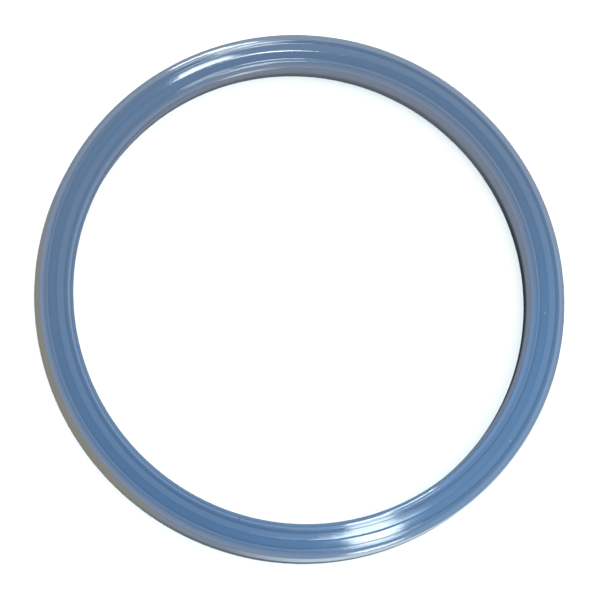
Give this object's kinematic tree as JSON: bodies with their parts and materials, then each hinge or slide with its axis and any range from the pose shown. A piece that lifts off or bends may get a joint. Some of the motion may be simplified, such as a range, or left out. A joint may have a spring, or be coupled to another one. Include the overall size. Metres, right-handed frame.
{
  "type": "intake manifold gasket",
  "caption": "Round moulded rubber gasket ring with concentric sealing ribs on both faces, for the joint of a round intake port.",
  "frame": {"origin": "on the ring's axis, in the plane that it rests on", "axes": "+Z along the ring's axis, up from the resting face"},
  "size_m": [0.088, 0.088, 0.008],
  "materials": {
    "silicone_rubber": "gloss"
  },
  "bodies": {
    "root": {"seal_ring": "silicone_rubber"}
  },
  "joints": []
}
